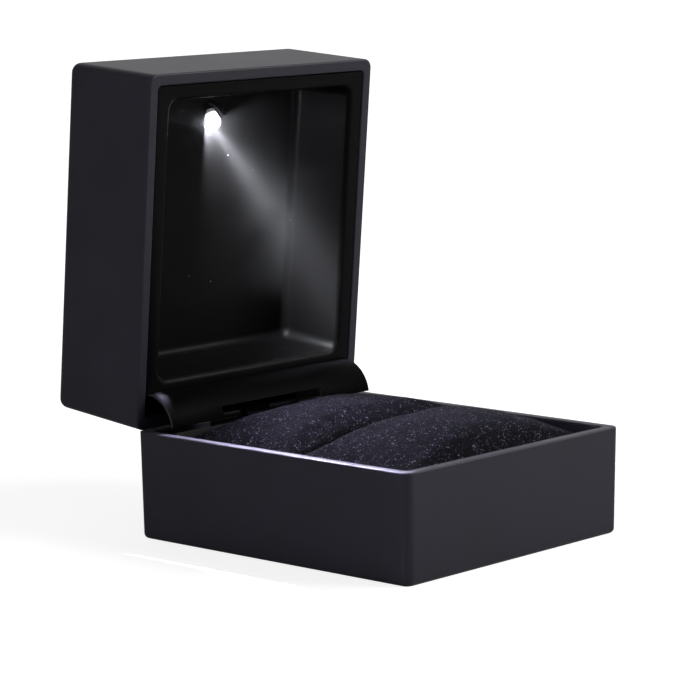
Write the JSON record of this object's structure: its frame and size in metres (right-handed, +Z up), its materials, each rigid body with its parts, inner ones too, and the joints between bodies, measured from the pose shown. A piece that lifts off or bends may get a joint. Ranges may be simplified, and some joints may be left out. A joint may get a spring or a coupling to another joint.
{
  "type": "ring display box",
  "caption": "Small hinged ring display box, shown open: moulded dark case, snap hinge under a curved cover, slotted padded cushions, and a switched lamp in the lid.",
  "frame": {"origin": "centre of the base's underside, on the surface it stands on", "axes": "+X along the hinge, to the right as seen from the front; -Y is the front; +Z up. The lid's hinge is at the back, at y 33 mm and z 20 mm."},
  "size_m": [0.06, 0.0878, 0.0872],
  "materials": {
    "shell_coat": "moulded case with a soft-touch rubber lacquer, matt near-black",
    "grey_card": "black card",
    "cushion_flock": "dark flocked velvet over foam, with sparse fine sparkle",
    "plated_steel": "pressed sheet steel, black nickel plated",
    "spring_steel": "blue-tempered spring strip",
    "lining_black": "vacuum-formed black sheet, satin",
    "cover_black": "bent black sheet, satin",
    "hood_black": "moulded black",
    "lamp_white": "clear lamp body, lit",
    "tinned_wire": "tinned wire",
    "board_green": "glass-fibre circuit board with green solder mask",
    "resistor_black": "moulded chip",
    "holder_black": "moulded black",
    "cell_steel": "drawn stainless can",
    "contact_nickel": "nickel-plated strip",
    "wire_red": "soft insulated wire",
    "plunger_white": "moulded natural white"
  },
  "bodies": {
    "base": {"base_shell": "shell_coat", "cushion_card": "grey_card", "cushion_front": "cushion_flock", "cushion_rear": "cushion_flock", "hinge_leaf_base": "plated_steel", "hinge_pin": "plated_steel", "snap_spring": "spring_steel"},
    "lid": {"lid_shell": "shell_coat", "lid_lining": "lining_black", "hinge_cover": "cover_black", "hinge_leaf_lid": "plated_steel", "lamp_hood": "hood_black", "lamp_bulb": "lamp_white", "lamp_legs": "tinned_wire", "circuit_board": "board_green", "board_screws": "plated_steel", "resistor": "resistor_black", "cell_holder": "holder_black", "button_cell": "cell_steel", "cell_seat": "contact_nickel", "cell_clip": "contact_nickel", "switch_housing": "holder_black", "switch_pins": "tinned_wire", "switch_wires": "wire_red"},
    "plunger": {"switch_plunger": "plunger_white"}
  },
  "joints": [
    {"name": "lid_hinge", "type": "hinge", "parent": "base", "child": "lid", "pos_m": [0, 0.033, 0.02], "axis": [1, 0, 0], "range_deg": [0, 85]},
    {"name": "switch_press", "type": "slide", "parent": "lid", "child": "plunger", "axis": [0, 0.9962, 0.0872], "range_m": [0, 0.0012]}
  ],
  "couplings": [
    {"joint": "switch_press", "follows": "lid_hinge", "m_per_rad": 0.0008088}
  ]
}
